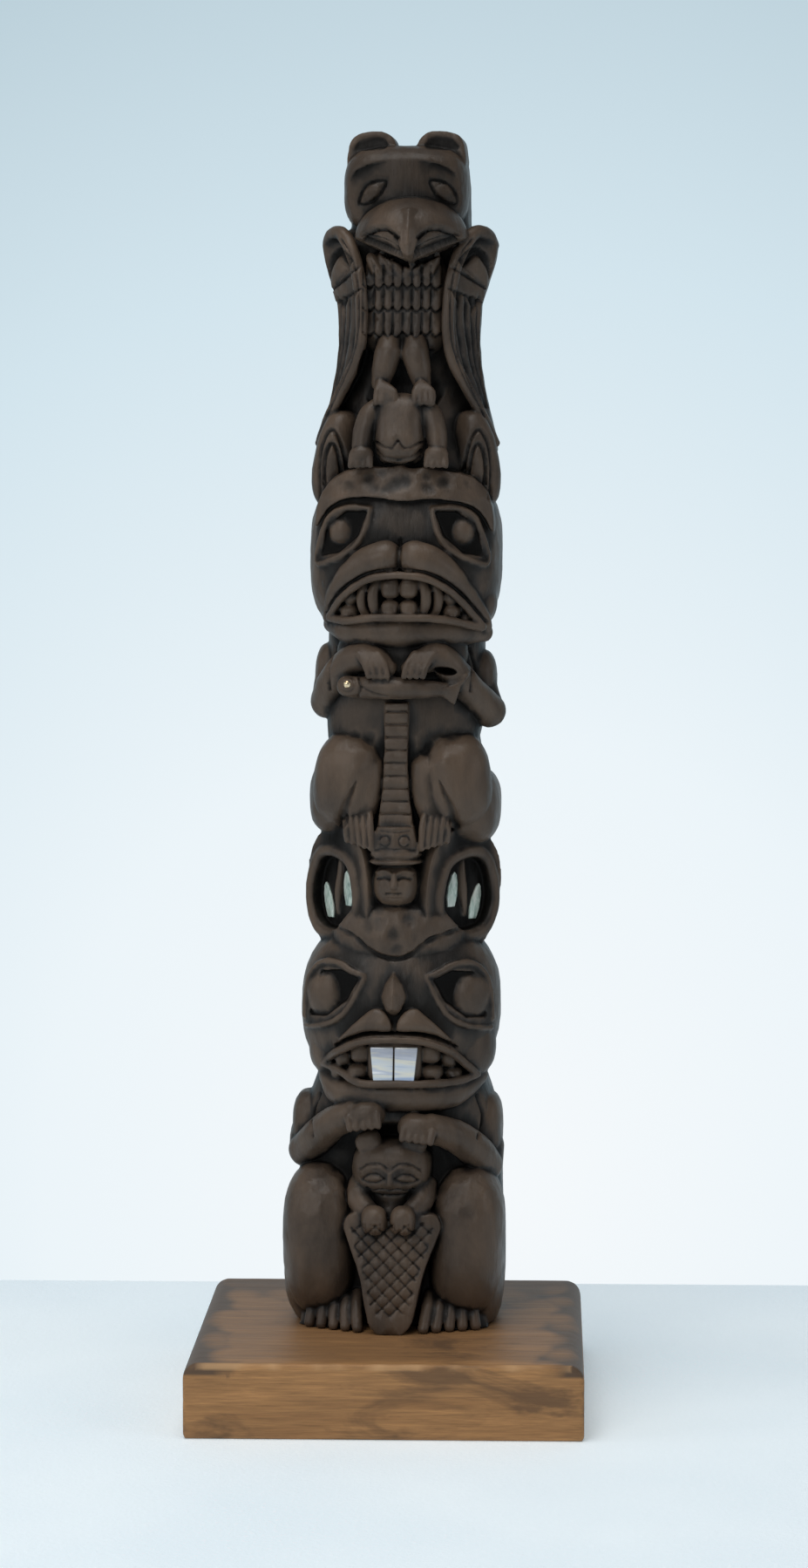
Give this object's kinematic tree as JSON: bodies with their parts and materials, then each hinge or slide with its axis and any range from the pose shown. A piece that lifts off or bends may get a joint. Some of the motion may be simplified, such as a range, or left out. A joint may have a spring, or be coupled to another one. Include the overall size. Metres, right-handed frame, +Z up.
{
  "type": "totem pole sculpture",
  "caption": "Carved wooden model totem pole of stacked animal figures on a square board, with shell inlays.",
  "frame": {"origin": "middle of the board's underside", "axes": "+Z up the pole, the figures face -Y, +X to a viewer's right"},
  "size_m": [0.184, 0.196, 0.6005],
  "materials": {
    "board": "warm brown stained board, grain across the width, worn edges, grey-brown stain blotches",
    "pole": "dark brown-black stained and hand-rubbed carving, satin, knife marks, warmer rubbed edges",
    "tooth_shell": null,
    "ear_shell": null,
    "pin": "small polished round head"
  },
  "bodies": {
    "root": {"base": "board", "pole": "pole", "incisor_left": "tooth_shell", "incisor_right": "tooth_shell", "ear_inlay_left_inner": "ear_shell", "ear_inlay_left_outer": "ear_shell", "ear_inlay_right_inner": "ear_shell", "ear_inlay_right_outer": "ear_shell", "fish_eye": "pin"}
  },
  "joints": []
}
